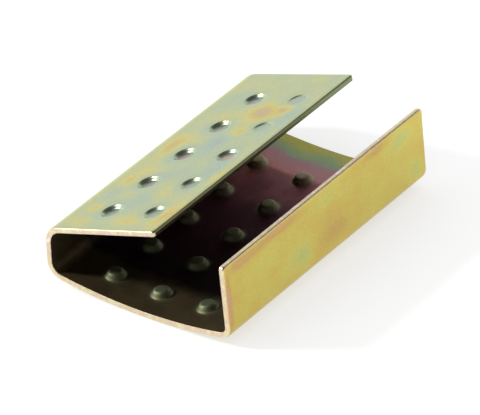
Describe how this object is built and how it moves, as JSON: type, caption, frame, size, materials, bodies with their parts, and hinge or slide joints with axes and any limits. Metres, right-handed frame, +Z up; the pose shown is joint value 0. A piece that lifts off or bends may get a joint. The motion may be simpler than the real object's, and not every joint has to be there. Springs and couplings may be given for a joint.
{
  "type": "strapping seal",
  "caption": "Open folded steel seal with embossed dimples; overlapped strap ends lie in it and its two flanges are crimped down over them.",
  "frame": {"origin": "lowest line of the bowed floor, halfway along the seal and across it", "axes": "+X across the strap towards the short flange, +Y along the strap, +Z up from the floor to the open side"},
  "size_m": [0.0187, 0.025, 0.0088],
  "materials": {
    "chromated_steel": "satin"
  },
  "bodies": {
    "root": {"seal_body": "chromated_steel"}
  },
  "joints": []
}
